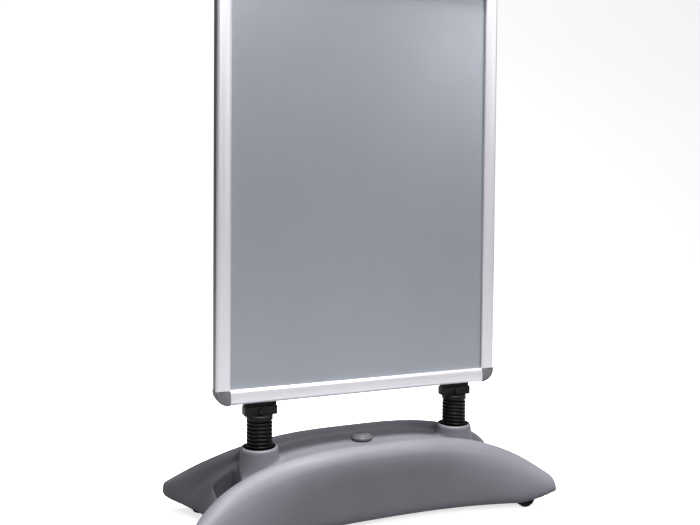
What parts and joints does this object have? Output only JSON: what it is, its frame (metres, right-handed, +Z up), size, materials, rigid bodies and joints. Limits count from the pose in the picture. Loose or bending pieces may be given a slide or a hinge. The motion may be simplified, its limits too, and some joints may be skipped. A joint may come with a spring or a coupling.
{
  "type": "swing pavement sign",
  "caption": "Double-sided poster sign: snap-open aluminium frame swaying on coil springs above a hollow grey water-filled base with transport wheels and hand-hold.",
  "frame": {"origin": "on the ground, below the middle of the base", "axes": "+X along the sign's width towards the wheel end, +Y to the rear, +Z up"},
  "size_m": [0.78, 0.309, 1.13],
  "materials": {
    "base_plastic": "rotomoulded grey polyethylene, satin",
    "cap_plastic": "injection-moulded dark grey",
    "seal_rubber": "black rubber",
    "foot_rubber": "black rubber",
    "wheel_plastic": "black nylon",
    "pin_steel": "zinc-plated",
    "black_fitting": "black moulded nylon",
    "spring_black": "black powder coat on spring steel",
    "bracket_black": "black powder coat",
    "zinc_steel": "zinc-plated",
    "frame_aluminium": "silver anodised, brushed lengthwise",
    "corner_plastic": "moulded mid grey",
    "backing_steel": "galvanised sheet, blue-grey",
    "cover_sheet": "clear anti-glare PVC"
  },
  "bodies": {
    "base": {"base_tank": "base_plastic", "filler_neck": "cap_plastic", "rubber_feet": "foot_rubber", "axle_pin_front": "pin_steel", "axle_pin_rear": "pin_steel", "spring_cup_left": "black_fitting", "spring_cup_right": "black_fitting", "coil_spring_left": "spring_black", "coil_spring_right": "spring_black"},
    "panel": {"spring_plug_left": "black_fitting", "spring_plug_right": "black_fitting", "bracket_left": "bracket_black", "bracket_right": "bracket_black", "bracket_bolts": "bracket_black", "bracket_nuts": "bracket_black", "rail_screws": "zinc_steel", "rail_left": "frame_aluminium", "rail_bottom": "frame_aluminium", "rail_right": "frame_aluminium", "rail_top": "frame_aluminium", "corner_bottom_left": "corner_plastic", "corner_bottom_right": "corner_plastic", "corner_top_left": "corner_plastic", "corner_top_right": "corner_plastic", "backing_sheet_front": "backing_steel", "backing_sheet_rear": "backing_steel", "cover_sheet_front": "cover_sheet", "cover_sheet_rear": "cover_sheet", "leaf_springs_front": "zinc_steel", "leaf_springs_rear": "zinc_steel"},
    "wheel_front": {"wheel_front": "wheel_plastic"},
    "wheel_rear": {"wheel_rear": "wheel_plastic"},
    "cap_seal": {"cap_seal": "seal_rubber"},
    "fill_cap": {"fill_cap": "cap_plastic"},
    "lid_front_left": {"snap_lid_front_left": "frame_aluminium"},
    "lid_rear_left": {"snap_lid_rear_left": "frame_aluminium"},
    "lid_front_bottom": {"snap_lid_front_bottom": "frame_aluminium"},
    "lid_rear_bottom": {"snap_lid_rear_bottom": "frame_aluminium"},
    "lid_front_right": {"snap_lid_front_right": "frame_aluminium"},
    "lid_rear_right": {"snap_lid_rear_right": "frame_aluminium"},
    "lid_front_top": {"snap_lid_front_top": "frame_aluminium"},
    "lid_rear_top": {"snap_lid_rear_top": "frame_aluminium"}
  },
  "joints": [
    {"name": "panel_sway", "type": "hinge", "parent": "base", "child": "panel", "pos_m": [0, 0, 0.187], "axis": [1, 0, 0], "range_deg": [-25, 25], "stiffness_Nm_per_rad": 160, "deforming": ["coil_spring_left", "coil_spring_right"]},
    {"name": "wheel_front_roll", "type": "hinge", "parent": "base", "child": "wheel_front", "pos_m": [0.331, -0.116, 0.023], "axis": [0, 1, 0], "continuous": true},
    {"name": "wheel_rear_roll", "type": "hinge", "parent": "base", "child": "wheel_rear", "pos_m": [0.331, 0.116, 0.023], "axis": [0, 1, 0], "continuous": true},
    {"name": "cap_rise", "type": "slide", "parent": "base", "child": "cap_seal", "axis": [0, 0, 1], "range_m": [0, 0.006]},
    {"name": "cap_turn", "type": "hinge", "parent": "cap_seal", "child": "fill_cap", "pos_m": [0, 0, 0.15], "axis": [0, 0, 1], "range_deg": [0, 720]},
    {"name": "lid_front_left_open", "type": "hinge", "parent": "panel", "child": "lid_front_left", "pos_m": [-0.3144, -0.0095, 0.6895], "axis": [0, 0, -1], "range_deg": [0, 100]},
    {"name": "lid_rear_left_open", "type": "hinge", "parent": "panel", "child": "lid_rear_left", "pos_m": [-0.3144, 0.0095, 0.6895], "axis": [0, 0, 1], "range_deg": [0, 100]},
    {"name": "lid_front_bottom_open", "type": "hinge", "parent": "panel", "child": "lid_front_bottom", "pos_m": [0, -0.0095, 0.2516], "axis": [1, 0, 0], "range_deg": [0, 100]},
    {"name": "lid_rear_bottom_open", "type": "hinge", "parent": "panel", "child": "lid_rear_bottom", "pos_m": [0, 0.0095, 0.2516], "axis": [-1, 0, 0], "range_deg": [0, 100]},
    {"name": "lid_front_right_open", "type": "hinge", "parent": "panel", "child": "lid_front_right", "pos_m": [0.3144, -0.0095, 0.6895], "axis": [0, 0, 1], "range_deg": [0, 100]},
    {"name": "lid_rear_right_open", "type": "hinge", "parent": "panel", "child": "lid_rear_right", "pos_m": [0.3144, 0.0095, 0.6895], "axis": [0, 0, -1], "range_deg": [0, 100]},
    {"name": "lid_front_top_open", "type": "hinge", "parent": "panel", "child": "lid_front_top", "pos_m": [0, -0.0095, 1.1274], "axis": [-1, 0, 0], "range_deg": [0, 100]},
    {"name": "lid_rear_top_open", "type": "hinge", "parent": "panel", "child": "lid_rear_top", "pos_m": [0, 0.0095, 1.1274], "axis": [1, 0, 0], "range_deg": [0, 100]}
  ],
  "couplings": [
    {"joint": "cap_rise", "follows": "cap_turn", "m_per_rad": 0.00047746}
  ]
}
